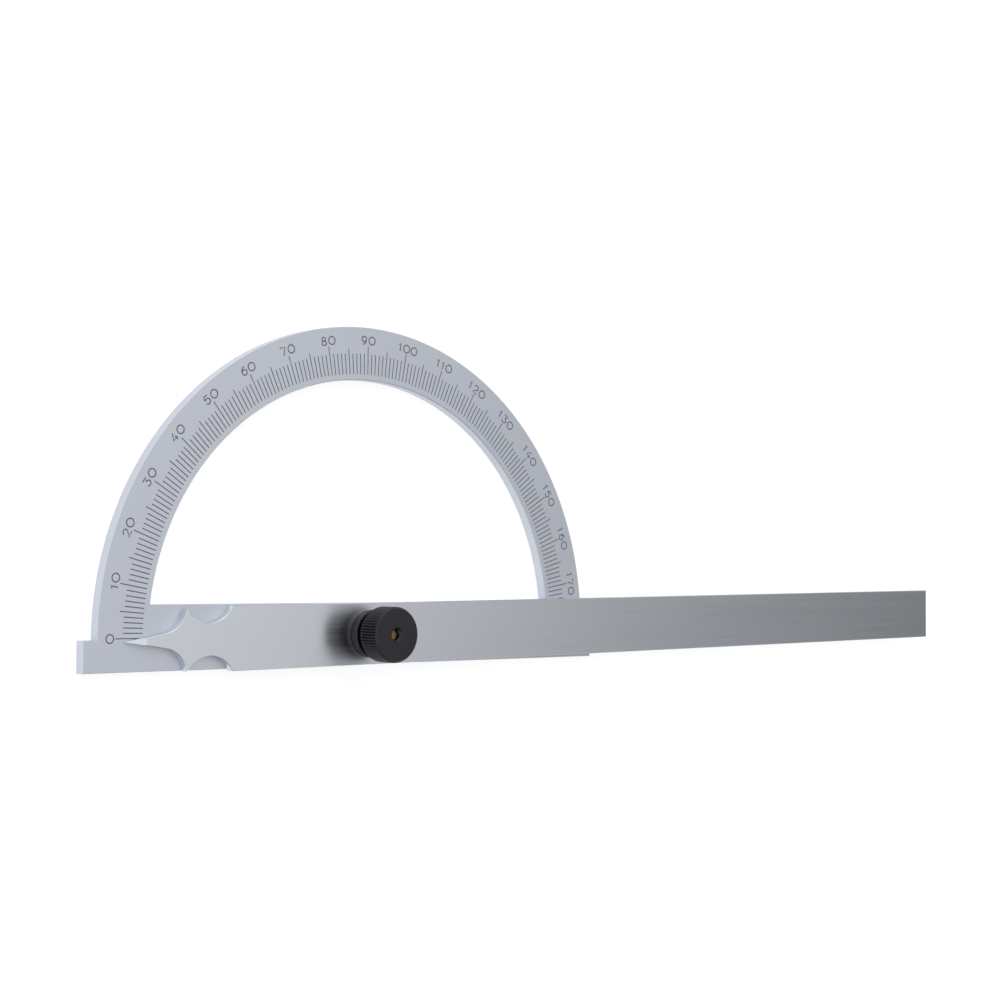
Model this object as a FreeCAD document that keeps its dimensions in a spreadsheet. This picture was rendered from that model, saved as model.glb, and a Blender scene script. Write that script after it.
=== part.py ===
import FreeCAD, Part
import math
import os
import Sketcher

# Open-arc bevel protractor, lying on its back.
# Origin: the pivot axis at the back face of the scale plate.
# +X runs along the zero line towards the blade's long end, +Y towards the arc's crown,
# and +Z points out of the graduated face. Lengths in millimetres, angles in degrees.

SIZES = [
    # scale plate
    ("plate_thickness", "2.8", "thickness of the arc and the base bar"),
    ("arc_outer_radius", "75", "outer edge of the arc"),
    ("arc_inner_radius", "62", "inner edge of the arc"),
    ("bar_height", "15", "base bar, half of it below the zero line"),
    ("foot_reach", "78.5", "pivot to the end of either foot"),
    ("foot_height", "7.2", "feet, from the reference edge up"),
    ("plate_edge_break", "0.15", "broken edges of the plate"),
    # graduation
    ("scale_span", "180", "angle from the first line to the last"),
    ("line_width", "0.25", "width of an engraved line"),
    ("line_depth", "0.08", "depth of an engraved line"),
    ("line_start_radius", "63.4", "inner end of every line"),
    ("fine_line_radius", "68.5", "outer end of a one degree line"),
    ("middle_line_radius", "69.6", "outer end of a five degree line"),
    ("long_line_radius", "70.4", "outer end of a ten degree line"),
    ("fine_step", "1", "angle between fine lines"),
    ("middle_step", "5", "angle between middle lines"),
    ("long_step", "10", "angle between long lines"),
    # blade
    ("blade_width", "15", "width of the blade"),
    ("blade_thickness", "2", "thickness of the blade"),
    ("blade_reach", "231.7", "pivot to the square end"),
    ("blade_edge_break", "0.15", "broken edges of the blade"),
    ("blade_rest_angle", "0.6", "how far the pointer stands below the zero line at rest"),
    ("pointer_reach", "68.3", "pivot to the pointer's tip"),
    ("tip_width", "0.16", "width across the very tip"),
    ("needle_length", "9.8", "straight taper behind the tip"),
    ("needle_width", "3.4", "width where the taper meets the shoulder arc"),
    ("bevel_length", "4.8", "part of the needle that is ground thin"),
    ("tip_thickness", "0.5", "thickness left at the tip"),
    ("cusp_width", "14.2", "across the two horns between needle and scallops"),
    ("scallop_radius", "7.2", "round scallop in either edge"),
    ("scallop_reach", "46.8", "pivot to the scallops' centres"),
    ("scallop_depth", "3.75", "how deep a scallop cuts into the edge"),
    # pivot stud
    ("stud_head_diameter", "10", "flat head, sunk flush in the plate's back"),
    ("stud_head_thickness", "1", "thickness of the head"),
    ("stud_seat_diameter", "7", "seat in the plate"),
    ("journal_diameter", "6", "round journal that the blade turns on"),
    ("key_width", "4.4", "across the two flats that key the washer"),
    ("thread_diameter", "3", "threaded end of the stud"),
    ("stud_end_depth", "1.4", "end of the stud below the nut's face"),
    ("stud_end_chamfer", "0.4", "chamfer on the threaded end"),
    # clamp washer
    ("washer_diameter", "11.6", "outside of the washer"),
    ("washer_thickness", "1.9", "thickness of the washer"),
    ("washer_chamfer", "0.25", "chamfer round the washer's rims"),
    # clamp nut
    ("collar_diameter", "8", "plain collar under the knurled head"),
    ("collar_height", "2.4", "height of the collar"),
    ("head_diameter", "13.5", "knurled head over its teeth"),
    ("head_height", "6", "height of the knurled head"),
    ("head_chamfer", "0.4", "chamfer on both ends of the knurl"),
    ("knurl_teeth", "60", "straight teeth round the head"),
    ("knurl_depth", "0.3", "depth of a knurl groove"),
    ("countersink_diameter", "3.6", "countersink at either mouth of the tapped hole"),
    # clearances
    ("face_clearance", "0.03", "between faces that slide on each other"),
    ("journal_clearance", "0.02", "radial, blade on journal and nut on thread"),
    ("seat_clearance", "0.01", "radial, stud seat and head in the plate"),
    ("key_clearance", "0.05", "each side, washer on the stud's flats"),
    ("shoulder_relief", "0.15", "how far a shoulder stays short of the face that clamps"),
]

# the sketcher's own numbers for the points of an edge and for the sketch's axes
START, END, CENTRE = range(1, 4)
X_AXIS, Y_AXIS = range(-1, -3, -1)
ORIGIN_POINT = (X_AXIS, START)

doc = FreeCAD.newDocument("BevelProtractor")
sheet = doc.addObject("Spreadsheet::Sheet", "Sizes")


def fill_sheet():
    for row, (alias, number, meaning) in enumerate(SIZES, start=1):
        sheet.set(f"A{row}", alias)
        sheet.set(f"B{row}", number)
        sheet.set(f"C{row}", meaning)
        sheet.setAlias(f"B{row}", alias)
    doc.recompute()


class Value(float):
    """A number worked out from the sheet that also carries the expression it follows."""

    def __new__(cls, number, expression):
        value = super().__new__(cls, number)
        value.expression = expression
        return value

    def __add__(self, other):
        return joined(self, "+", other, float(self) + float(other))

    def __sub__(self, other):
        return joined(self, "-", other, float(self) - float(other))

    def __mul__(self, other):
        return joined(self, "*", other, float(self) * float(other))

    def __truediv__(self, other):
        return joined(self, "/", other, float(self) / float(other))


def joined(left, sign, right, number):
    other = right.expression if isinstance(right, Value) else right
    return Value(number, f"({left.expression} {sign} {other})")


def size(alias):
    return Value(sheet.get(alias), f"Sizes.{alias}")


def new_body(name):
    body = doc.addObject("PartDesign::Body", name)
    body.Label = name
    return body


def origin_feature(body, role):
    return next(item for item in body.Origin.OriginFeatures if item.Role == role)


def new_sketch(body, name, plane="XY_Plane", height=None):
    """A sketch on one of the body's own origin planes, or at a height above it."""
    sketch = body.newObject("Sketcher::SketchObject", name)
    sketch.AttachmentSupport = [(origin_feature(body, plane), "")]
    sketch.MapMode = "FlatFace"
    if height:
        sketch.setExpression("AttachmentOffset.Base.z", height.expression)
    return sketch


def line(sketch, start, end):
    edge = Part.LineSegment(FreeCAD.Vector(*start, 0), FreeCAD.Vector(*end, 0))
    return sketch.addGeometry(edge, False)


def arc(sketch, centre, radius, first, last):
    """An arc drawn anticlockwise between two angles in degrees."""
    circle = Part.Circle(FreeCAD.Vector(*centre, 0), FreeCAD.Vector(0, 0, 1), radius)
    edge = Part.ArcOfCircle(circle, math.radians(first), math.radians(last))
    return sketch.addGeometry(edge, False)


def fix(sketch, kind, *where):
    sketch.addConstraint(Sketcher.Constraint(kind, *where))


def drive(sketch, kind, name, value, *where):
    """A dimension of the sketch that follows the sheet."""
    index = sketch.addConstraint(Sketcher.Constraint(kind, *where, float(value)))
    sketch.renameConstraint(index, name)
    sketch.setExpression(f"Constraints.{name}", value.expression)


def close(sketch, edges):
    """Ties each edge's end to the start of the next, all the way round."""
    for edge, following in zip(edges, edges[1:] + edges[:1]):
        fix(sketch, "Coincident", edge, END, following, START)


def polygon(sketch, points):
    edges = [line(sketch, a, b) for a, b in zip(points, points[1:] + points[:1])]
    close(sketch, edges)
    return edges


def pad(body, name, sketch, length):
    feature = body.newObject("PartDesign::Pad", name)
    feature.Profile = sketch
    feature.setExpression("Length", length.expression)
    doc.recompute()
    return feature


def pocket(body, name, sketch, length=None, reversed_cut=False):
    """A cut along the sketch's normal, through everything where no length is given."""
    before = body.Tip
    feature = new_pocket(body, name, sketch, length, reversed_cut)
    check_cut(before, feature)
    return feature


def pocket_round(body, name, sketch, length, reversed_cut, step, occurrences):
    """The same cut, repeated round the body's Z axis, a step apart."""
    before = body.Tip
    first = new_pocket(body, name, sketch, length, reversed_cut)
    feature = body.newObject("PartDesign::PolarPattern", f"{name}_pattern")
    feature.Originals = [first]
    feature.Axis = (origin_feature(body, "Z_Axis"), [""])
    feature.Mode = "Spacing"
    feature.setExpression("Offset", step)
    feature.setExpression("Occurrences", occurrences)
    body.Tip = feature
    check_cut(before, feature)
    return feature


def new_pocket(body, name, sketch, length, reversed_cut):
    feature = body.newObject("PartDesign::Pocket", name)
    feature.Profile = sketch
    feature.Reversed = reversed_cut
    if length:
        feature.setExpression("Length", length.expression)
    else:
        feature.Type = "ThroughAll"
    return feature


def round_hole(body, name, shaft_diameter, clearance, depth=None):
    """A round hole up the body's Z axis from its back, with room for the shaft that it takes."""
    radius = shaft_diameter / 2 + clearance
    sketch = new_sketch(body, f"{name}_outline")
    wall = Part.Circle(FreeCAD.Vector(0, 0, 0), FreeCAD.Vector(0, 0, 1), radius)
    edge = sketch.addGeometry(wall, False)
    fix(sketch, "Coincident", edge, CENTRE, *ORIGIN_POINT)
    drive(sketch, "Radius", "hole_radius", radius, edge)
    return pocket(body, name, sketch, depth, reversed_cut=True)


def check_cut(before, after):
    doc.recompute()
    if not after.Shape.Volume < before.Shape.Volume:
        raise RuntimeError(f"{after.Label} cuts nothing")


def break_edges(body, name, base, edges, width):
    feature = body.newObject("PartDesign::Chamfer", name)
    feature.Base = (base, edges)
    feature.setExpression("Size", width.expression)
    doc.recompute()
    return feature


def outline_edges(shape, height, beyond=-math.inf):
    """Edges of the shape that lie flat at one height and reach past one place along X."""
    near = 1e-6
    return [
        f"Edge{index}"
        for index, edge in enumerate(shape.Edges, start=1)
        if abs(edge.BoundBox.ZMin - height) < near
        and abs(edge.BoundBox.ZMax - height) < near
        and edge.BoundBox.XMax > beyond + near
    ]


def scale_plate():
    """Arc and base bar in one plate, graduated on its face."""
    body = new_body("scale_plate")
    outline = new_sketch(body, "plate_outline")
    draw_rim(outline)
    draw_window(outline)
    blank = pad(body, "plate_blank", outline, size("plate_thickness"))
    edges = outline_edges(blank.Shape, 0) + outline_edges(blank.Shape, size("plate_thickness"))
    break_edges(body, "plate_broken_edges", blank, edges, size("plate_edge_break"))
    round_hole(body, "stud_counterbore", size("stud_head_diameter"), size("seat_clearance"),
               size("stud_head_thickness"))
    round_hole(body, "stud_hole", size("stud_seat_diameter"), size("seat_clearance"))
    for length in ("long", "middle", "fine"):
        graduation(body, length)
    return body


def draw_rim(outline):
    """The plate's outside: the arc standing on the base bar, whose feet reach past it."""
    outer = size("arc_outer_radius")
    foot = size("foot_reach")
    half_bar = size("bar_height") / 2
    low = -half_bar
    foot_top = low + size("foot_height")
    lean = math.degrees(math.asin(foot_top / outer))

    bottom = line(outline, (-foot, low), (foot, low))
    right_end = line(outline, (foot, low), (foot, foot_top))
    right_top = line(outline, (foot, foot_top), (outer, foot_top))
    crown = arc(outline, (0, 0), outer, lean, 180 - lean)
    left_top = line(outline, (-outer, foot_top), (-foot, foot_top))
    left_end = line(outline, (-foot, foot_top), (-foot, low))
    close(outline, [bottom, right_end, right_top, crown, left_top, left_end])
    for edge in (right_top, left_top):
        fix(outline, "Horizontal", edge)
    for edge in (right_end, left_end):
        fix(outline, "Vertical", edge)
    fix(outline, "Coincident", crown, CENTRE, *ORIGIN_POINT)
    fix(outline, "Symmetric", bottom, START, bottom, END, Y_AXIS)
    fix(outline, "Equal", right_end, left_end)
    drive(outline, "Radius", "arc_outside", outer, crown)
    drive(outline, "DistanceX", "foot_end", foot, *ORIGIN_POINT, bottom, END)
    drive(outline, "DistanceY", "low_edge", half_bar, bottom, END, *ORIGIN_POINT)
    drive(outline, "DistanceY", "foot_rise", size("foot_height"), right_end, START, right_end, END)


def draw_window(outline):
    """The half-moon opening between the base bar and the arc."""
    inner = size("arc_inner_radius")
    half_bar = size("bar_height") / 2
    rise = math.degrees(math.asin(half_bar / inner))
    half_window = inner * math.cos(math.radians(rise))
    sill = line(outline, (-half_window, half_bar), (half_window, half_bar))
    vault = arc(outline, (0, 0), inner, rise, 180 - rise)
    close(outline, [sill, vault])
    fix(outline, "Coincident", vault, CENTRE, *ORIGIN_POINT)
    fix(outline, "Horizontal", sill)
    drive(outline, "Radius", "arc_inside", inner, vault)
    drive(outline, "DistanceY", "bar_top", half_bar, *ORIGIN_POINT, sill, END)


def graduation(body, length):
    """The engraved lines of one length, a step apart round the arc."""
    first = new_sketch(body, f"{length}_line_outline", height=size("plate_thickness"))
    start = size("line_start_radius")
    end = size(f"{length}_line_radius")
    width = size("line_width")
    half = width / 2
    low, tip, high, root = polygon(first, [(start, -half), (end, -half), (end, half), (start, half)])
    for edge in (low, high):
        fix(first, "Horizontal", edge)
    fix(first, "Vertical", tip)
    fix(first, "Symmetric", root, START, root, END, X_AXIS)
    drive(first, "DistanceX", "line_start", start, *ORIGIN_POINT, root, END)
    drive(first, "DistanceX", "line_end", end, *ORIGIN_POINT, tip, START)
    drive(first, "DistanceY", "line_width", width, tip, START, tip, END)
    pocket_round(body, f"{length}_line", first, size("line_depth"), False,
                 f"Sizes.{length}_step", f"floor(Sizes.scale_span / Sizes.{length}_step) + 1")


def blade():
    """Long steel rule with a shaped pointer on its short end, turning on the stud's journal."""
    body = new_body("blade")
    outline = new_sketch(body, "half_outline")
    draw_half_blade(outline)
    half_blank = pad(body, "half_blank", outline, size("blade_thickness"))
    blank = body.newObject("PartDesign::Mirrored", "blade_blank")
    blank.Originals = [half_blank]
    blank.MirrorPlane = (origin_feature(body, "XZ_Plane"), [""])
    body.Tip = blank
    doc.recompute()

    ground = point_bevel(body)
    ridge = size("bevel_length") - size("pointer_reach")
    edges = outline_edges(ground.Shape, size("blade_thickness"), beyond=ridge)
    break_edges(body, "blade_broken_edges", ground, edges, size("blade_edge_break"))
    round_hole(body, "pivot_bore", size("journal_diameter"), size("journal_clearance"))
    body.setExpression(".Placement.Base.z", BLADE_BACK.expression)
    body.setExpression(".Placement.Rotation.Angle", "Sizes.blade_rest_angle * 1 deg")
    return body


def draw_half_blade(outline):
    """One half of the blade: square end, long edge, scallop, flank up to the horn, and needle."""
    half = size("blade_width") / 2
    reach = size("blade_reach")
    pointer = size("pointer_reach")
    tip_half = size("tip_width") / 2
    needle_length = size("needle_length")
    needle_half = size("needle_width") / 2
    horn = size("cusp_width") / 2
    radius = size("scallop_radius")
    scallop_reach = size("scallop_reach")
    scallop_height = half - size("scallop_depth") + radius

    tip_x = -pointer
    needle_x = tip_x + needle_length
    edge_angle = math.degrees(math.asin((half - scallop_height) / radius))
    horn_angle = 180 - math.degrees(math.asin((horn - scallop_height) / radius))
    horn_x = radius * math.cos(math.radians(horn_angle)) - scallop_reach
    scallop_end_x = radius * math.cos(math.radians(edge_angle)) - scallop_reach
    shoulder, shoulder_radius, taper = shoulder_arc(
        (tip_x, tip_half), (needle_x, needle_half), (horn_x, horn))
    horn_bearing = math.degrees(math.atan2(horn - shoulder[1], horn_x - shoulder[0]))

    middle = line(outline, (tip_x, 0), (reach, 0))
    square_end = line(outline, (reach, 0), (reach, half))
    long_edge = line(outline, (reach, half), (scallop_end_x, half))
    scallop = arc(outline, (-scallop_reach, scallop_height), radius, horn_angle, 360 + edge_angle)
    flank = arc(outline, shoulder, shoulder_radius, taper - 90, horn_bearing)
    needle = line(outline, (needle_x, needle_half), (tip_x, tip_half))
    point = line(outline, (tip_x, tip_half), (tip_x, 0))
    fix(outline, "Coincident", middle, END, square_end, START)
    fix(outline, "Coincident", square_end, END, long_edge, START)
    fix(outline, "Coincident", long_edge, END, scallop, END)
    fix(outline, "Coincident", scallop, START, flank, END)
    fix(outline, "Coincident", needle, END, point, START)
    fix(outline, "Coincident", point, END, middle, START)
    fix(outline, "Tangent", flank, START, needle, START)
    fix(outline, "PointOnObject", middle, START, X_AXIS)
    for edge in (middle, long_edge):
        fix(outline, "Horizontal", edge)
    for edge in (square_end, point):
        fix(outline, "Vertical", edge)
    drive(outline, "DistanceX", "reach", reach, *ORIGIN_POINT, middle, END)
    drive(outline, "DistanceX", "tip", pointer, middle, START, *ORIGIN_POINT)
    drive(outline, "DistanceY", "half_width", half, square_end, START, square_end, END)
    drive(outline, "DistanceY", "half_tip", tip_half, point, END, point, START)
    drive(outline, "DistanceX", "needle_run", needle_length, needle, END, needle, START)
    drive(outline, "DistanceY", "needle_half", needle_half, *ORIGIN_POINT, needle, START)
    drive(outline, "DistanceY", "horn", horn, *ORIGIN_POINT, flank, END)
    drive(outline, "Radius", "scallop_round", radius, scallop)
    drive(outline, "DistanceX", "scallop_place", scallop_reach, scallop, CENTRE, *ORIGIN_POINT)
    drive(outline, "DistanceY", "scallop_height", scallop_height, *ORIGIN_POINT, scallop, CENTRE)


def shoulder_arc(tip, start, end):
    """Centre and radius of the arc that carries the needle's taper on to the horn, and the taper."""
    taper = math.atan2(start[1] - tip[1], start[0] - tip[0])
    across = (-math.sin(taper), math.cos(taper))
    gap = (end[0] - start[0], end[1] - start[1])
    radius = (gap[0] ** 2 + gap[1] ** 2) / (2 * (gap[0] * across[0] + gap[1] * across[1]))
    centre = (start[0] + radius * across[0], start[1] + radius * across[1])
    return centre, radius, math.degrees(taper)


def point_bevel(body):
    """Slope ground on the needle's face, so that the tip lies close to the graduation."""
    slope = new_sketch(body, "point_bevel_outline", plane="XZ_Plane")
    pointer = size("pointer_reach")
    run = size("bevel_length")
    top = size("blade_thickness")
    thin = size("tip_thickness")
    grind, front, lid = polygon(slope, [(run - pointer, top), (-pointer, thin), (-pointer, top)])
    fix(slope, "Horizontal", lid)
    fix(slope, "Vertical", front)
    drive(slope, "DistanceX", "tip", pointer, front, START, *ORIGIN_POINT)
    drive(slope, "DistanceX", "bevel_run", run, lid, START, lid, END)
    drive(slope, "DistanceY", "top", top, *ORIGIN_POINT, lid, START)
    drive(slope, "DistanceY", "tip_left", thin, *ORIGIN_POINT, grind, END)
    before = body.Tip
    cut = body.newObject("PartDesign::Pocket", "point_bevel")
    cut.Profile = slope
    cut.SideType = "Symmetric"
    cut.Type = "Length"
    cut.setExpression("Length", size("blade_width").expression)
    check_cut(before, cut)
    return cut


def turned(body, name, profile):
    """A revolve about the body's Z axis of a closed profile of (radius, height) corners."""
    sketch = new_sketch(body, f"{name}_profile", plane="XZ_Plane")
    edges = polygon(sketch, profile)
    for index, (radius, height) in enumerate(profile):
        corner = (edges[index], START)
        tie_to_axis(sketch, "DistanceX", f"radius_{index}", radius, corner, Y_AXIS)
        tie_to_axis(sketch, "DistanceY", f"height_{index}", height, corner, X_AXIS)
    feature = body.newObject("PartDesign::Revolution", name)
    feature.Profile = sketch
    feature.ReferenceAxis = (sketch, ["V_Axis"])
    feature.Angle = 360
    doc.recompute()
    return feature


def tie_to_axis(sketch, kind, name, distance, corner, axis):
    """Holds a corner at a distance of the sheet from one axis, or on it at a distance of 0."""
    if distance:
        drive(sketch, kind, name, distance, *ORIGIN_POINT, *corner)
    else:
        fix(sketch, "PointOnObject", *corner, axis)


def pivot_stud():
    """Brass stud: flush head, seat in the plate, journal, keyed shank and threaded end."""
    body = new_body("pivot_stud")
    journal_top = BLADE_FRONT - size("shoulder_relief")
    key_top = WASHER_FRONT - size("shoulder_relief")
    stud_end = NUT_FRONT - size("stud_end_depth")
    head = size("stud_head_diameter") / 2
    seat = size("stud_seat_diameter") / 2
    journal = size("journal_diameter") / 2
    thread = size("thread_diameter") / 2
    bevel = size("stud_end_chamfer")
    turned(body, "stud_blank", [
        (0, 0),
        (head, 0),
        (head, size("stud_head_thickness")),
        (seat, size("stud_head_thickness")),
        (seat, size("plate_thickness")),
        (journal, size("plate_thickness")),
        (journal, key_top),
        (thread, key_top),
        (thread, stud_end - bevel),
        (thread - bevel, stud_end),
        (0, stud_end),
    ])
    flats = new_sketch(body, "flats_outline", height=journal_top)
    for side in (1, -1):
        draw_flat(flats, side)
    pocket(body, "washer_flats", flats, key_top - journal_top, reversed_cut=True)
    return body


def draw_flat(sketch, side):
    """What is milled away beside the key, above the axis for side 1 and below it for side -1."""
    half = size("key_width") / 2
    room = size("journal_diameter")
    near, far = side * half, side * (half + room)
    low, tip, high, root = polygon(sketch, [(-room, near), (room, near), (room, far), (-room, far)])
    fix(sketch, "Horizontal", high)
    for edge in (tip, root):
        fix(sketch, "Vertical", edge)
    fix(sketch, "Symmetric", low, START, low, END, Y_AXIS)
    name = "upper" if side > 0 else "lower"
    origin_to_flat = [ORIGIN_POINT, (low, END)][::side]
    flat_to_rim = [(tip, START), (tip, END)][::side]
    drive(sketch, "DistanceY", f"{name}_flat", half, *origin_to_flat[0], *origin_to_flat[1])
    drive(sketch, "DistanceY", f"{name}_depth", room, *flat_to_rim[0], *flat_to_rim[1])
    drive(sketch, "DistanceX", f"{name}_reach", room, *ORIGIN_POINT, low, END)


def clamp_washer():
    """Disc under the nut with a double-D hole, so it can't turn with the nut."""
    body = new_body("clamp_washer")
    rim = size("washer_diameter") / 2
    top = size("washer_thickness")
    bevel = size("washer_chamfer")
    turned(body, "washer_blank", [
        (0, 0),
        (rim - bevel, 0),
        (rim, bevel),
        (rim, top - bevel),
        (rim - bevel, top),
        (0, top),
    ])
    hole = new_sketch(body, "key_hole_outline")
    draw_key_hole(hole)
    pocket(body, "key_hole", hole, reversed_cut=True)
    body.setExpression(".Placement.Base.z", WASHER_BACK.expression)
    return body


def draw_key_hole(hole):
    """Round hole with two flats, one clearance larger all round than the stud's key."""
    radius = size("journal_diameter") / 2 + size("key_clearance")
    half = size("key_width") / 2 + size("key_clearance")
    corner = math.degrees(math.asin(half / radius))
    run = radius * math.cos(math.radians(corner))
    top = line(hole, (run, half), (-run, half))
    left = arc(hole, (0, 0), radius, 180 - corner, 180 + corner)
    bottom = line(hole, (-run, -half), (run, -half))
    right = arc(hole, (0, 0), radius, -corner, corner)
    close(hole, [top, left, bottom, right])
    for edge in (top, bottom):
        fix(hole, "Horizontal", edge)
    for edge in (left, right):
        fix(hole, "Coincident", edge, CENTRE, *ORIGIN_POINT)
    fix(hole, "Equal", left, right)
    drive(hole, "Radius", "hole_radius", radius, left)
    drive(hole, "DistanceY", "upper_flat", half, *ORIGIN_POINT, top, START)
    drive(hole, "DistanceY", "lower_flat", half, bottom, START, *ORIGIN_POINT)


def clamp_nut():
    """Knurled nut with a plain collar and a hole right through for the stud's thread."""
    body = new_body("clamp_nut")
    hole = size("thread_diameter") / 2 + size("journal_clearance")
    mouth = size("countersink_diameter") / 2
    sink = mouth - hole
    collar = size("collar_diameter") / 2
    head = size("head_diameter") / 2
    shoulder = size("collar_height")
    bevel = size("head_chamfer")
    turned(body, "nut_blank", [
        (mouth, 0),
        (collar, 0),
        (collar, shoulder),
        (head - bevel, shoulder),
        (head, shoulder + bevel),
        (head, NUT_HEIGHT - bevel),
        (head - bevel, NUT_HEIGHT),
        (mouth, NUT_HEIGHT),
        (hole, NUT_HEIGHT - sink),
        (hole, sink),
    ])
    groove = new_sketch(body, "knurl_groove_outline")
    draw_knurl_groove(groove)
    pocket_round(body, "knurl_groove", groove, None, True,
                 "360 / Sizes.knurl_teeth", "Sizes.knurl_teeth")
    body.setExpression(".Placement.Base.z", NUT_BACK.expression)
    return body


def draw_knurl_groove(groove):
    """A right-angled notch from its root to just outside the head."""
    depth = size("knurl_depth")
    root = size("head_diameter") / 2 - depth
    mouth = root + depth * 2
    half_width = depth * 2
    low, rise, back = polygon(groove, [(root, 0), (mouth, -half_width), (mouth, half_width)])
    fix(groove, "PointOnObject", low, START, X_AXIS)
    fix(groove, "Symmetric", rise, START, rise, END, X_AXIS)
    drive(groove, "DistanceX", "groove_root", root, *ORIGIN_POINT, low, START)
    drive(groove, "DistanceX", "groove_mouth", mouth, *ORIGIN_POINT, rise, START)
    drive(groove, "DistanceY", "groove_width", half_width * 2, rise, START, rise, END)


def check_and_export(parts):
    doc.recompute()
    for item in doc.Objects:
        if "Invalid" in item.State or "Error" in item.State:
            raise RuntimeError(f"{item.Label} failed: {item.State}")
    os.makedirs("parts", exist_ok=True)
    for part in parts:
        if part.Shape.isNull() or not part.Shape.isValid():
            raise RuntimeError(f"{part.Label} has no valid shape")
        part.Shape.exportStep(f"parts/{part.Label}.step")
        print(f"{part.Label}: {len(part.Shape.Solids)} solid, {part.Shape.Volume:.1f} mm3")


fill_sheet()

# heights above the back of the plate
BLADE_BACK = size("plate_thickness") + size("face_clearance")
BLADE_FRONT = BLADE_BACK + size("blade_thickness")
WASHER_BACK = BLADE_FRONT + size("face_clearance")
WASHER_FRONT = WASHER_BACK + size("washer_thickness")
NUT_BACK = WASHER_FRONT + size("face_clearance")
NUT_HEIGHT = size("collar_height") + size("head_height")
NUT_FRONT = NUT_BACK + NUT_HEIGHT

check_and_export([scale_plate(), blade(), pivot_stud(), clamp_washer(), clamp_nut()])
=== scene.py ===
import math

import bmesh
import bpy
from bpy.props import FloatProperty, FloatVectorProperty, PointerProperty, StringProperty
from mathutils import Matrix, Vector


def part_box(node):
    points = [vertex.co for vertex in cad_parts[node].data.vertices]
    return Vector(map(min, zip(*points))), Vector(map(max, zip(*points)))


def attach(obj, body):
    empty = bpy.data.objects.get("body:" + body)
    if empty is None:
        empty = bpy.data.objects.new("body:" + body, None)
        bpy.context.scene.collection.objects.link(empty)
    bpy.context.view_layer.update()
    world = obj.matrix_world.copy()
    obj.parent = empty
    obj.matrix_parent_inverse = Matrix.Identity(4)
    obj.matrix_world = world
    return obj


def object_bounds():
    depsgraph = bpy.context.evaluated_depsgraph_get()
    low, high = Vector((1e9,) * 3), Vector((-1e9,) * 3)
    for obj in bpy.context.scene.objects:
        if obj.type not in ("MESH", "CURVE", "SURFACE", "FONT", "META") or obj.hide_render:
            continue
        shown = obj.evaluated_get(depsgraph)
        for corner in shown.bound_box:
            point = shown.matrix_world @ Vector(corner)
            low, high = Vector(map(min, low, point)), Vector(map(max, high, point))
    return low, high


bl_info = {
    "name": "Bevel protractor",
    "version": (1, 0, 0),
    "blender": (4, 5, 0),
    "location": "3D View > Sidebar > Protractor",
    "description": "Finishes, graduation and studio for an open-arc bevel protractor",
    "category": "Object",
}

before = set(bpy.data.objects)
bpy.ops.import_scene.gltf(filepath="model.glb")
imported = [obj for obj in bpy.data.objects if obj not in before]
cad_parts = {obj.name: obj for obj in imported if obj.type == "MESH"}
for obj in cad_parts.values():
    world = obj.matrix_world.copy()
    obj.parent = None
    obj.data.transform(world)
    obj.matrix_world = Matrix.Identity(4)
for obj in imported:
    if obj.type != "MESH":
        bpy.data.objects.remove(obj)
CAD_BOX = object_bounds()

MM = 0.001
PLATE_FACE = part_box("scale_plate")[1].z
NUT_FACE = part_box("clamp_nut")[1].z
STUD_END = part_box("pivot_stud")[1].z

# the ring pattern of a wave texture turns through 20 radians for each unit of length
WAVE_RADIANS = 20

LAST_MARK = 180
MIDDLE_STEP = 5
LONG_STEP = 10


# ---------------------------------------------------------------- sizes and colours

def length(name, description, default):
    return FloatProperty(name=name, description=description, default=default * MM,
                         min=0.0, precision=5, unit="LENGTH")


def colour(name, description, default):
    return StringProperty(name=name, description=description + ", as sRGB hex", default=default)


class GraduationSettings(bpy.types.PropertyGroup):
    """Engraved lines and numerals of the arc."""

    line_start: length("Line start", "Radius at which every line begins", 63.4)
    fine_end: length("One degree line end", "Radius at which a one degree line ends", 68.5)
    middle_end: length("Five degree line end", "Radius at which a five degree line ends", 69.6)
    long_end: length("Ten degree line end", "Radius at which a ten degree line ends", 70.4)
    line_width: length("Line width", "Width of the paint in a line", 0.24)
    line_depth: length("Line depth", "Depth of the engraved groove", 0.08)
    fill_depth: length("Fill depth", "How far the paint stays below the face", 0.02)
    numeral_radius: length("Numeral radius", "Radius of the numerals' middle line", 71.8)
    numeral_height: length("Numeral height", "Height of a numeral along its stroke's middle", 1.95)
    digit_pitch: length("Numeral pitch", "From one numeral to the next", 2.45)
    stroke_width: length("Stroke width", "Width of a numeral's stroke", 0.3)
    stroke_rise: length("Stroke rise", "How far the paint of a stroke stands proud", 0.012)


class ThreadSettings(bpy.types.PropertyGroup):
    """Thread cut in the clamp nut's hole."""

    pitch: length("Pitch", "Rise of the thread in one turn", 0.5)
    major_radius: length("Major radius", "Radius of the hole's wall", 1.52)
    minor_radius: length("Minor radius", "Radius over the thread's crests", 1.26)
    run_out: length("Run-out", "Plain length left below the nut's face", 0.5)
    stud_gap: length("Stud gap", "Room left between the stud's end and the thread", 0.3)
    flank: FloatProperty(name="Flank", description="Half of a crest's foot, as a share of the pitch",
                         default=0.4, min=0.0, max=0.5)


class FinishSettings(bpy.types.PropertyGroup):
    """Colours of the finishes."""

    chrome: colour("Satin chrome", "Hard chrome on the scale plate", "#D3D8E2")
    steel: colour("Brushed steel", "Ground and brushed face of the blade", "#DEE3EA")
    black_oxide: colour("Black oxide", "Black oxide on the nut and the washer", "#454347")
    # brass's own colour, darkened as painted shade for the stud's end that lies deep in the nut's hole
    brass: colour("Brass", "Turned brass of the stud", "#8A7148")
    paint: colour("Engraving paint", "Paint wiped into the engraving", "#565962")


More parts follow.
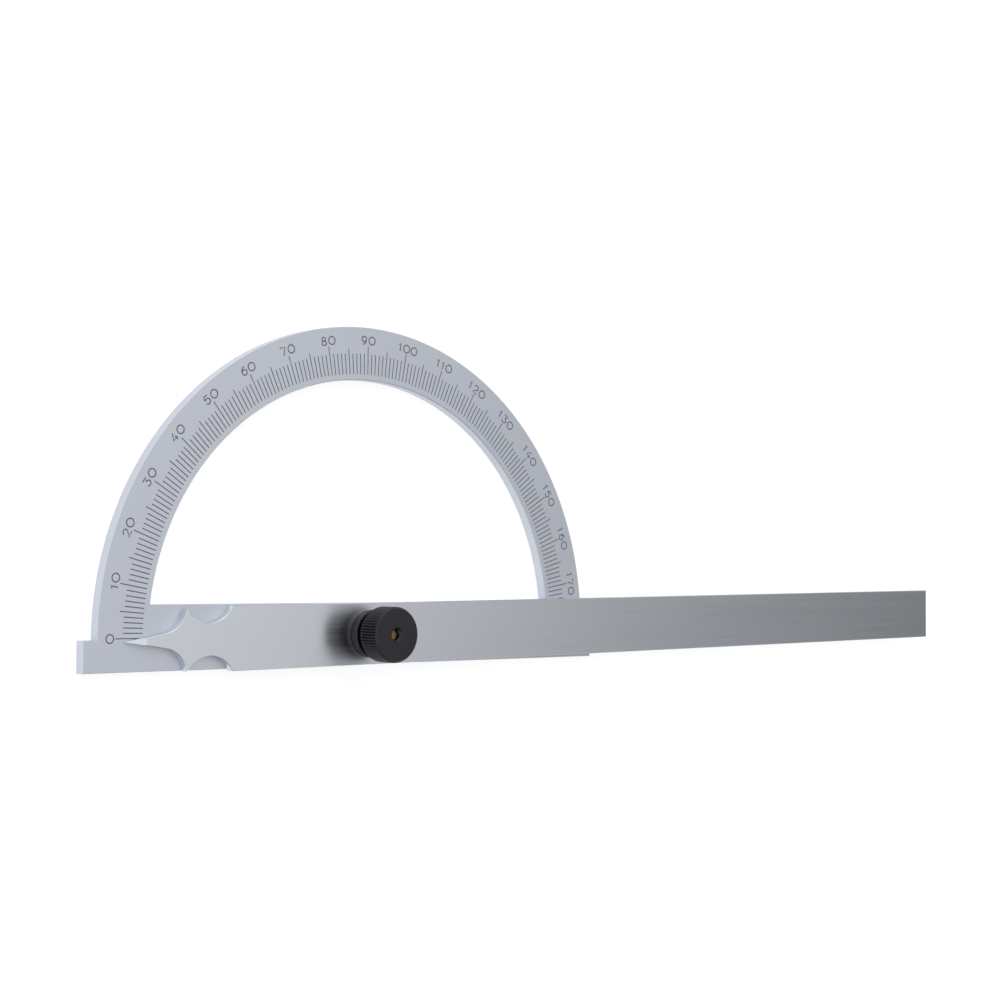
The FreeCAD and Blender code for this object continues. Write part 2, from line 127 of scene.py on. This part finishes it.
class StageSettings(bpy.types.PropertyGroup):
    """Floor, light and camera."""

    floor_size: FloatProperty(name="Floor size", description="Side of the square floor",
                              default=6.0, min=1.0, unit="LENGTH")
    floor_grey: FloatProperty(name="Floor grey", description="Reflectance of the floor",
                              default=0.45, min=0.0, max=1.0)
    floor_glow: FloatProperty(name="Floor glow", default=0.72, min=0.0, max=1.0,
                              description="Light added where the floor is seen or mirrored")
    floor_gap: length("Floor gap", "Air left between the floor and the plate's back", 0.1)
    key_power: FloatProperty(name="Key lamp", description="Power of the lamp above the crown",
                             default=1.8, min=0.0, unit="POWER")
    camera_place: FloatVectorProperty(name="Camera place", description="Where the camera stands",
                                      default=(-0.3023, 0.0178, 0.3772), subtype="TRANSLATION")
    camera_yaw: FloatProperty(name="Camera yaw", description="Turn away from straight above",
                              default=math.radians(42.823), subtype="ANGLE")
    camera_pitch: FloatProperty(name="Camera pitch", description="Tilt towards the crown",
                                default=math.radians(1.809), subtype="ANGLE")
    camera_roll: FloatProperty(name="Camera roll", description="Turn about the line of sight",
                               default=math.radians(0.569), subtype="ANGLE")
    camera_lens: FloatProperty(name="Focal length", description="Focal length in millimetres",
                               default=70.53, min=1.0)


class ProtractorSettings(bpy.types.PropertyGroup):
    """Everything that can be set."""

    graduation: PointerProperty(type=GraduationSettings)
    thread: PointerProperty(type=ThreadSettings)
    finish: PointerProperty(type=FinishSettings)
    stage: PointerProperty(type=StageSettings)


# ---------------------------------------------------------------- materials

def linear(hex_colour):
    """Scene-linear RGBA of an sRGB hex colour."""
    channels = [int(hex_colour[i:i + 2], 16) / 255 for i in (1, 3, 5)]
    return [c / 12.92 if c <= 0.04045 else ((c + 0.055) / 1.055) ** 2.4 for c in channels] + [1.0]


def add(tree, kind, settings=None, links=None):
    """Adds a node, gives it its settings and input values, and links its inputs."""
    node = tree.nodes.new(kind)
    for name, value in (settings or {}).items():
        if isinstance(name, int) or name in node.inputs:
            node.inputs[name].default_value = value
        else:
            setattr(node, name, value)
    for name, (source, output) in (links or {}).items():
        tree.links.new(source.outputs[output], node.inputs[name])
    return node


def new_material(name):
    material = bpy.data.materials.new(name)
    material.use_nodes = True
    material.node_tree.nodes.clear()
    return material, material.node_tree


def finish_surface(tree, surface):
    add(tree, "ShaderNodeOutputMaterial", links={"Surface": (surface, "BSDF")})


def per_metre(size_mm):
    """Texture scale that gives a feature of a size in millimetres."""
    return 1 / (size_mm * MM)


def shades(tree, factor, output, dark, light):
    """Mixes two shades of one colour by a texture."""
    return add(tree, "ShaderNodeMix",
               {"data_type": "RGBA", 6: dark, 7: light}, {0: (factor, output)})


def darker(rgba, share):
    return [c * share for c in rgba[:3]] + [1.0]


def satin_chrome(finish):
    """Hard chrome over a fine-blasted steel plate: dull, even and slightly blue."""
    material, tree = new_material("satin_chromed_steel")
    place = add(tree, "ShaderNodeTexCoord")
    # the blasted grain is about 0.05 mm, drawn at 0.35 mm so that it shows
    grain = add(tree, "ShaderNodeTexNoise",
                {"Scale": per_metre(0.35), "Detail": 3.0}, {"Vector": (place, "Object")})
    # faint clouds in the chrome's bath, about a thumb wide
    cloud = add(tree, "ShaderNodeTexNoise",
                {"Scale": per_metre(18), "Detail": 2.0}, {"Vector": (place, "Object")})
    base = linear(finish.chrome)
    tone = shades(tree, cloud, "Fac", darker(base, 0.94), base)
    dull = add(tree, "ShaderNodeMapRange",
               {"From Min": 0.3, "From Max": 0.7, "To Min": 0.46, "To Max": 0.56},
               {"Value": (grain, "Fac")})
    bump = add(tree, "ShaderNodeBump", {"Strength": 0.12, "Distance": 0.01 * MM},
               {"Height": (grain, "Fac")})
    surface = add(tree, "ShaderNodeBsdfPrincipled", {"Metallic": 1.0}, {
        "Base Color": (tone, 2), "Roughness": (dull, "Result"), "Normal": (bump, "Normal")})
    finish_surface(tree, surface)
    return material


def brushed_steel(finish, turn):
    """Rule steel brushed along its length: fine streaks, and a reflection smeared across them."""
    material, tree = new_material("brushed_steel")
    place = add(tree, "ShaderNodeTexCoord")
    # streaks about 25 mm long and 0.12 mm wide, drawn at 0.25 mm so that they show
    along = add(tree, "ShaderNodeMapping",
                {"Rotation": (0, 0, -turn),
                 "Scale": (per_metre(25), per_metre(0.25), per_metre(0.25))},
                {"Vector": (place, "Object")})
    streak = add(tree, "ShaderNodeTexNoise", {"Scale": 1.0, "Detail": 4.0},
                 {"Vector": (along, "Vector")})
    band_place = add(tree, "ShaderNodeMapping",
                     {"Rotation": (0, 0, -turn),
                      "Scale": (per_metre(90), per_metre(2.5), per_metre(2.5))},
                     {"Vector": (place, "Object")})
    band = add(tree, "ShaderNodeTexNoise", {"Scale": 1.0, "Detail": 2.0},
               {"Vector": (band_place, "Vector")})
    both = add(tree, "ShaderNodeMix", {"data_type": "FLOAT", 0: 0.35},
               {2: (streak, "Fac"), 3: (band, "Fac")})
    base = linear(finish.steel)
    tone = shades(tree, both, 0, darker(base, 0.80), base)
    dull = add(tree, "ShaderNodeMapRange",
               {"From Min": 0.3, "From Max": 0.7, "To Min": 0.26, "To Max": 0.36},
               {"Value": (both, 0)})
    bump = add(tree, "ShaderNodeBump", {"Strength": 0.10, "Distance": 0.01 * MM},
               {"Height": (streak, "Fac")})
    crosswise = add(tree, "ShaderNodeVectorTransform",
                     {"vector_type": "VECTOR", "convert_from": "OBJECT", "convert_to": "WORLD",
                      "Vector": (-math.sin(turn), math.cos(turn), 0)})
    surface = add(tree, "ShaderNodeBsdfPrincipled", {"Metallic": 1.0, "Anisotropic": 0.75}, {
        "Base Color": (tone, 2), "Roughness": (dull, "Result"), "Normal": (bump, "Normal"),
        "Tangent": (crosswise, "Vector")})
    finish_surface(tree, surface)
    return material


def turned(name, base, roughness, ring_mm, ring_depth):
    """Metal turned on a lathe: rings about the pivot axis, one tool pass apart."""
    material, tree = new_material(name)
    place = add(tree, "ShaderNodeTexCoord")
    ring = add(tree, "ShaderNodeTexWave",
               {"wave_type": "RINGS", "rings_direction": "Z",
                "Scale": per_metre(ring_mm) * math.tau / WAVE_RADIANS,
                "Distortion": 0.6, "Detail": 1.0, "Detail Scale": 0.5},
               {"Vector": (place, "Object")})
    speck = add(tree, "ShaderNodeTexNoise", {"Scale": per_metre(0.5), "Detail": 3.0},
                {"Vector": (place, "Object")})
    both = add(tree, "ShaderNodeMix", {"data_type": "FLOAT", 0: 0.5},
               {2: (ring, "Fac"), 3: (speck, "Fac")})
    tone = shades(tree, both, 0, darker(base, 0.72), base)
    dull = add(tree, "ShaderNodeMapRange",
               {"From Min": 0.2, "From Max": 0.8,
                "To Min": roughness - 0.05, "To Max": roughness + 0.07},
               {"Value": (both, 0)})
    bump = add(tree, "ShaderNodeBump", {"Strength": 1.0, "Distance": ring_depth * MM},
               {"Height": (ring, "Fac")})
    surface = add(tree, "ShaderNodeBsdfPrincipled", {"Metallic": 1.0}, {
        "Base Color": (tone, 2), "Roughness": (dull, "Result"), "Normal": (bump, "Normal")})
    finish_surface(tree, surface)
    return material


def engraving_paint(finish):
    """Black enamel wiped into the engraving: matt, and greyer where the wipe thinned it."""
    material, tree = new_material("engraving_paint")
    place = add(tree, "ShaderNodeTexCoord")
    wipe = add(tree, "ShaderNodeTexNoise", {"Scale": per_metre(0.8), "Detail": 3.0},
               {"Vector": (place, "Object")})
    base = linear(finish.paint)
    tone = shades(tree, wipe, "Fac", darker(base, 0.7), [min(1, c * 1.6) for c in base[:3]] + [1.0])
    surface = add(tree, "ShaderNodeBsdfPrincipled", {"Roughness": 0.65}, {"Base Color": (tone, 2)})
    finish_surface(tree, surface)
    return material


def assign(obj, material):
    obj.data.materials.clear()
    obj.data.materials.append(material)


# ---------------------------------------------------------------- geometry helpers

def mesh_piece(name, bm, material, body):
    """Turns a bmesh into a piece that rides on a body."""
    mesh = bpy.data.meshes.new(name)
    bmesh.ops.recalc_face_normals(bm, faces=bm.faces)
    bm.to_mesh(mesh)
    bm.free()
    piece = bpy.data.objects.new(name, mesh)
    bpy.context.scene.collection.objects.link(piece)
    piece.data.materials.append(material)
    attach(piece, body)
    return piece


def add_loop(bm, ring, following):
    """Joins two rings of vertices with faces."""
    for a, b, c, d in zip(ring, ring[1:] + ring[:1], following[1:] + following[:1], following):
        bm.faces.new((a, b, c, d))


def bar_of_paint(bm, turn, start, end, width, low, high):
    """A thin bar of paint from one radius to another along a line through the pivot."""
    rotation = Matrix.Rotation(turn, 4, "Z")
    corners = [(start, -width / 2), (end, -width / 2), (end, width / 2), (start, width / 2)]
    bottom = [bm.verts.new(rotation @ Vector((x, y, low))) for x, y in corners]
    top = [bm.verts.new(rotation @ Vector((x, y, high))) for x, y in corners]
    add_loop(bm, bottom, top)
    bm.faces.new(top)
    bm.faces.new(bottom[::-1])


def bow(x, y, half_width, half_height, first, last, steps=10):
    """Points of an oval arc from one angle to another, in degrees."""
    angles = [math.radians(first + (last - first) * i / steps) for i in range(steps + 1)]
    return [(x + half_width * math.cos(a), y + half_height * math.sin(a)) for a in angles]


def oval(x, y, half_width, half_height):
    return bow(x, y, half_width, half_height, 0, 360, steps=20)


# single-stroke numerals of a machine engraver, one unit high about their middle
NUMERALS = {
    "0": [oval(0, 0, 0.5, 0.5)],
    "1": [[(-0.24, 0.24), (0.04, 0.5), (0.04, -0.5)]],
    "2": [bow(0, 0.2, 0.36, 0.3, 165, -38) + [(-0.40, -0.5), (0.40, -0.5)]],
    "3": [[(-0.36, 0.5), (0.34, 0.5), (-0.04, 0.12)] + bow(-0.02, -0.19, 0.38, 0.31, 80, -155)],
    "4": [[(0.14, 0.5), (-0.42, -0.2), (0.42, -0.2)], [(0.16, 0.06), (0.16, -0.5)]],
    "5": [[(0.32, 0.5), (-0.26, 0.5), (-0.34, 0.04)] + bow(-0.02, -0.16, 0.38, 0.34, 130, -150)],
    "6": [oval(0.02, -0.17, 0.36, 0.33), bow(0.30, -0.10, 0.64, 0.60, 172, 95)],
    "7": [[(-0.42, 0.5), (0.38, 0.5), (-0.08, -0.5)]],
    "8": [oval(0, 0.26, 0.27, 0.24), oval(0, -0.24, 0.35, 0.26)],
    "9": [oval(-0.02, 0.17, 0.36, 0.33), bow(-0.30, 0.10, 0.64, 0.60, -8, -85)],
}


# a "1" takes this share of another numeral's room
NARROW_ONE = 0.7


def stroke_normals(points, closed):
    """Unit vector across the stroke at each of its points."""
    count = len(points)
    across = []
    for i in range(count):
        before = points[(i - 1) % count] if closed or i > 0 else points[i]
        after = points[(i + 1) % count] if closed or i < count - 1 else points[i]
        way = (Vector(after) - Vector(before)).normalized()
        across.append(Vector((-way.y, way.x)))
    return across


def draw_stroke(bm, points, place, width, low, high):
    """A ribbon of paint with a slightly crowned top along a line of points."""
    closed = (Vector(points[0]) - Vector(points[-1])).length < 1e-6
    if closed:
        points = points[:-1]
    sections = []
    for point, across in zip(points, stroke_normals(points, closed)):
        half = across * width / 2
        profile = [(-1, low), (1, low), (1, high * 0.4), (0, high), (-1, high * 0.4)]
        sections.append([
            bm.verts.new(place @ Vector((point[0] + half.x * side, point[1] + half.y * side, rise)))
            for side, rise in profile
        ])
    for a, b in zip(sections, sections[1:] + (sections[:1] if closed else [])):
        add_loop(bm, a, b)
    if not closed:
        bm.faces.new(sections[0])
        bm.faces.new(sections[-1][::-1])


# ---------------------------------------------------------------- operators

def cad(node):
    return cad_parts[node]


def settings(context):
    return context.scene.protractor


class PROTRACTOR_OT_scale_plate(bpy.types.Operator):
    """Gives the scale plate its satin chrome"""

    bl_idname = "protractor.scale_plate"
    bl_label = "Scale plate"

    def execute(self, context):
        assign(cad("scale_plate"), satin_chrome(settings(context).finish))
        return {"FINISHED"}


class PROTRACTOR_OT_blade(bpy.types.Operator):
    """Gives the blade its brushed steel"""

    bl_idname = "protractor.blade"
    bl_label = "Blade"

    def execute(self, context):
        tip = min(cad("blade").data.vertices, key=lambda vertex: vertex.co.x).co
        turn = math.atan2(-tip.y, -tip.x)
        assign(cad("blade"), brushed_steel(settings(context).finish, turn))
        return {"FINISHED"}


class PROTRACTOR_OT_pivot_stud(bpy.types.Operator):
    """Gives the stud its turned brass"""

    bl_idname = "protractor.pivot_stud"
    bl_label = "Pivot stud"

    def execute(self, context):
        # the brass colour carries painted shade: it is darkened for the stud's end deep in the nut's
        # hole
        base = linear(settings(context).finish.brass)
        assign(cad("pivot_stud"), turned("turned_brass", base, 0.3, 0.3, 0.01))
        return {"FINISHED"}


class PROTRACTOR_OT_clamp(bpy.types.Operator):
    """Gives the nut and the washer their black oxide over turned steel"""

    bl_idname = "protractor.clamp"
    bl_label = "Clamp nut and washer"

    def execute(self, context):
        base = linear(settings(context).finish.black_oxide)
        material = turned("black_oxide_steel", base, 0.42, 0.5, 0.02)
        for node in ("clamp_nut", "clamp_washer"):
            assign(cad(node), material)
        return {"FINISHED"}


class PROTRACTOR_OT_nut_thread(bpy.types.Operator):
    """Cuts the thread that shows in the nut's hole above the stud"""

    bl_idname = "protractor.nut_thread"
    bl_label = "Nut thread"

    def execute(self, context):
        thread = settings(context).thread
        bm = bmesh.new()
        steps = 24
        low = STUD_END + thread.stud_gap
        turns = (NUT_FACE - thread.run_out - low) / thread.pitch
        sections = []
        for i in range(int(steps * turns) + 1):
            angle = 2 * math.pi * i / steps
            height = low + thread.pitch * i / steps
            profile = [(thread.major_radius, -thread.flank), (thread.minor_radius, 0),
                       (thread.major_radius, thread.flank)]
            sections.append([
                bm.verts.new((r * math.cos(angle), r * math.sin(angle), height + rise * thread.pitch))
                for r, rise in profile
            ])
        for a, b in zip(sections, sections[1:]):
            add_loop(bm, a, b)
        bm.faces.new(sections[0])
        bm.faces.new(sections[-1][::-1])
        mesh_piece("nut_thread", bm, cad("clamp_nut").data.materials[0], "nut")
        return {"FINISHED"}


class PROTRACTOR_OT_graduation(bpy.types.Operator):
    """Fills the engraved lines with paint"""

    bl_idname = "protractor.graduation"
    bl_label = "Graduation"

    def execute(self, context):
        sizes = settings(context).graduation
        paint = paint_material(context)
        marks = {
            "long": [m for m in range(LAST_MARK + 1) if m % LONG_STEP == 0],
            "middle": [m for m in range(LAST_MARK + 1) if m % LONG_STEP == MIDDLE_STEP],
            "fine": [m for m in range(LAST_MARK + 1) if m % MIDDLE_STEP],
        }
        low = PLATE_FACE - sizes.line_depth
        high = PLATE_FACE - sizes.fill_depth
        for kind, degrees in marks.items():
            bm = bmesh.new()
            end = getattr(sizes, f"{kind}_end")
            for mark in degrees:
                bar_of_paint(bm, math.radians(mark), sizes.line_start, end, sizes.line_width, low, high)
            mesh_piece(f"graduation_{kind}", bm, paint, "scale")
        return {"FINISHED"}


class PROTRACTOR_OT_numerals(bpy.types.Operator):
    """Engraves the numerals, which read from the left end of the arc to the right"""

    bl_idname = "protractor.numerals"
    bl_label = "Numerals"

    def execute(self, context):
        sizes = settings(context).graduation
        paint = paint_material(context)
        for mark in range(0, LAST_MARK + 1, LONG_STEP):
            bm = bmesh.new()
            text = str(mark)
            advance = [sizes.digit_pitch * (NARROW_ONE if digit == "1" else 1) for digit in text]
            centres = [sum(advance[:i]) + advance[i] / 2 for i in range(len(text))]
            middle = sum(centres) / len(centres)
            turn = Matrix.Rotation(math.radians(90 - mark), 4, "Z")
            for index, digit in enumerate(text):
                shift = centres[index] - middle
                place = (turn @ Matrix.Translation((shift, sizes.numeral_radius, PLATE_FACE))
                         @ Matrix.Diagonal((sizes.numeral_height, sizes.numeral_height, 1, 1)))
                for points in NUMERALS[digit]:
                    draw_stroke(bm, points, place, sizes.stroke_width / sizes.numeral_height,
                                -sizes.stroke_rise, sizes.stroke_rise)
            mesh_piece(f"numeral_{mark}", bm, paint, "scale")
        return {"FINISHED"}


def paint_material(context):
    return bpy.data.materials.get("engraving_paint") or engraving_paint(settings(context).finish)


def floor_material(stage):
    """White seamless paper, lit and shaded like paper but glowing where it is seen or mirrored."""
    material, tree = new_material("white_paper")
    rays = add(tree, "ShaderNodeLightPath")
    seen = add(tree, "ShaderNodeMath", {"operation": "MAXIMUM"},
               {0: (rays, "Is Camera Ray"), 1: (rays, "Is Glossy Ray")})
    seen = add(tree, "ShaderNodeMath", {"operation": "MAXIMUM"},
               {0: (seen, 0), 1: (rays, "Is Transmission Ray")})
    glow_strength = add(tree, "ShaderNodeMath", {"operation": "MULTIPLY", 1: stage.floor_glow},
                        {0: (seen, 0)})
    glow = add(tree, "ShaderNodeEmission", {"Color": (1, 1, 1, 1)}, {"Strength": (glow_strength, 0)})
    grey = stage.floor_grey
    paper = add(tree, "ShaderNodeBsdfDiffuse", {"Color": (grey, grey, grey, 1), "Roughness": 0.5})
    both = add(tree, "ShaderNodeAddShader", links={0: (paper, "BSDF"), 1: (glow, "Emission")})
    # open from below, so that the plate's back can be looked at
    side = add(tree, "ShaderNodeNewGeometry")
    clear = add(tree, "ShaderNodeBsdfTransparent")
    sheet = add(tree, "ShaderNodeMixShader", links={
        0: (side, "Backfacing"), 1: (both, "Shader"), 2: (clear, "BSDF")})
    add(tree, "ShaderNodeOutputMaterial", links={"Surface": (sheet, "Shader")})
    return material


# soft sky of the studio: brightness against the cosine of the angle to its brightest point
SKY_CENTRE = Vector((-0.42, 0.42, 0.80)).normalized()
SKY_STOPS = [(0.0, 0.16), (0.12, 0.25), (0.24, 0.46), (0.34, 0.76), (0.42, 1.0), (1.0, 1.0)]


def make_sky():
    world = bpy.data.worlds.new("studio_sky")
    world.use_nodes = True
    tree = world.node_tree
    tree.nodes.clear()
    place = add(tree, "ShaderNodeTexCoord")
    toward = add(tree, "ShaderNodeVectorMath", {"operation": "DOT_PRODUCT", 1: SKY_CENTRE},
                 {0: (place, "Generated")})
    ramp = add(tree, "ShaderNodeValToRGB", links={"Fac": (toward, "Value")})
    stops = ramp.color_ramp.elements
    while len(stops) < len(SKY_STOPS):
        stops.new(0.5)
    for stop, (position, grey) in zip(stops, SKY_STOPS):
        stop.position = position
        stop.color = (grey, grey, grey, 1)
    back = add(tree, "ShaderNodeBackground", links={"Color": (ramp, "Color")})
    add(tree, "ShaderNodeOutputWorld", links={"Surface": (back, "Background")})
    bpy.context.scene.world = world


def add_lamp(name, place, aim, size, power):
    data = bpy.data.lights.new(name, "AREA")
    data.shape = "DISK"
    data.size = size
    data.energy = power
    lamp = bpy.data.objects.new(name, data)
    lamp.location = place
    lamp.rotation_euler = (Vector(place) - Vector(aim)).to_track_quat("Z", "Y").to_euler()
    bpy.context.scene.collection.objects.link(lamp)


class PROTRACTOR_OT_stage(bpy.types.Operator):
    """Lays the floor, lights it and sets up the camera"""

    bl_idname = "protractor.stage"
    bl_label = "Stage"

    def execute(self, context):
        stage = settings(context).stage
        bm = bmesh.new()
        bmesh.ops.create_grid(bm, x_segments=1, y_segments=1, size=stage.floor_size / 2)
        mesh = bpy.data.meshes.new("floor")
        bm.to_mesh(mesh)
        bm.free()
        floor = bpy.data.objects.new("floor", mesh)
        floor.location.z = CAD_BOX[0].z - stage.floor_gap
        context.scene.collection.objects.link(floor)
        assign(floor, floor_material(stage))
        make_sky()
        add_lamp("key_lamp", (0.05, 0.95, 0.75), (0.05, 0, 0), 0.90, stage.key_power)

        data = bpy.data.cameras.new("camera")
        data.lens = stage.camera_lens
        data.sensor_width = 36
        data.clip_start = 0.01
        camera = bpy.data.objects.new("camera", data)
        camera.matrix_world = (Matrix.Translation(stage.camera_place)
                               @ Matrix.Rotation(-stage.camera_yaw, 4, "Y")
                               @ Matrix.Rotation(stage.camera_pitch, 4, "X")
                               @ Matrix.Rotation(stage.camera_roll, 4, "Z"))
        context.scene.collection.objects.link(camera)
        context.scene.camera = camera
        context.scene.view_settings.view_transform = "Standard"
        return {"FINISHED"}


class PROTRACTOR_PT_panel(bpy.types.Panel):
    """Lists the protractor's pieces"""

    bl_idname = "PROTRACTOR_PT_panel"
    bl_label = "Bevel protractor"
    bl_space_type = "VIEW_3D"
    bl_region_type = "UI"
    bl_category = "Protractor"

    def draw(self, context):
        for operator in OPERATORS:
            self.layout.operator(operator.bl_idname)


OPERATORS = [
    PROTRACTOR_OT_scale_plate,
    PROTRACTOR_OT_graduation,
    PROTRACTOR_OT_numerals,
    PROTRACTOR_OT_blade,
    PROTRACTOR_OT_pivot_stud,
    PROTRACTOR_OT_clamp,
    PROTRACTOR_OT_nut_thread,
    PROTRACTOR_OT_stage,
]
GROUPS = [GraduationSettings, ThreadSettings, FinishSettings, StageSettings, ProtractorSettings]


def register():
    for group in GROUPS + OPERATORS + [PROTRACTOR_PT_panel]:
        bpy.utils.register_class(group)
    bpy.types.Scene.protractor = PointerProperty(type=ProtractorSettings)


def unregister():
    del bpy.types.Scene.protractor
    for group in reversed(GROUPS + OPERATORS + [PROTRACTOR_PT_panel]):
        bpy.utils.unregister_class(group)


def main():
    register()
    bpy.ops.protractor.scale_plate()
    bpy.ops.protractor.graduation()
    bpy.ops.protractor.numerals()
    bpy.ops.protractor.blade()
    bpy.ops.protractor.pivot_stud()
    bpy.ops.protractor.clamp()
    bpy.ops.protractor.nut_thread()
    bpy.ops.protractor.stage()


if __name__ == "__main__":
    main()
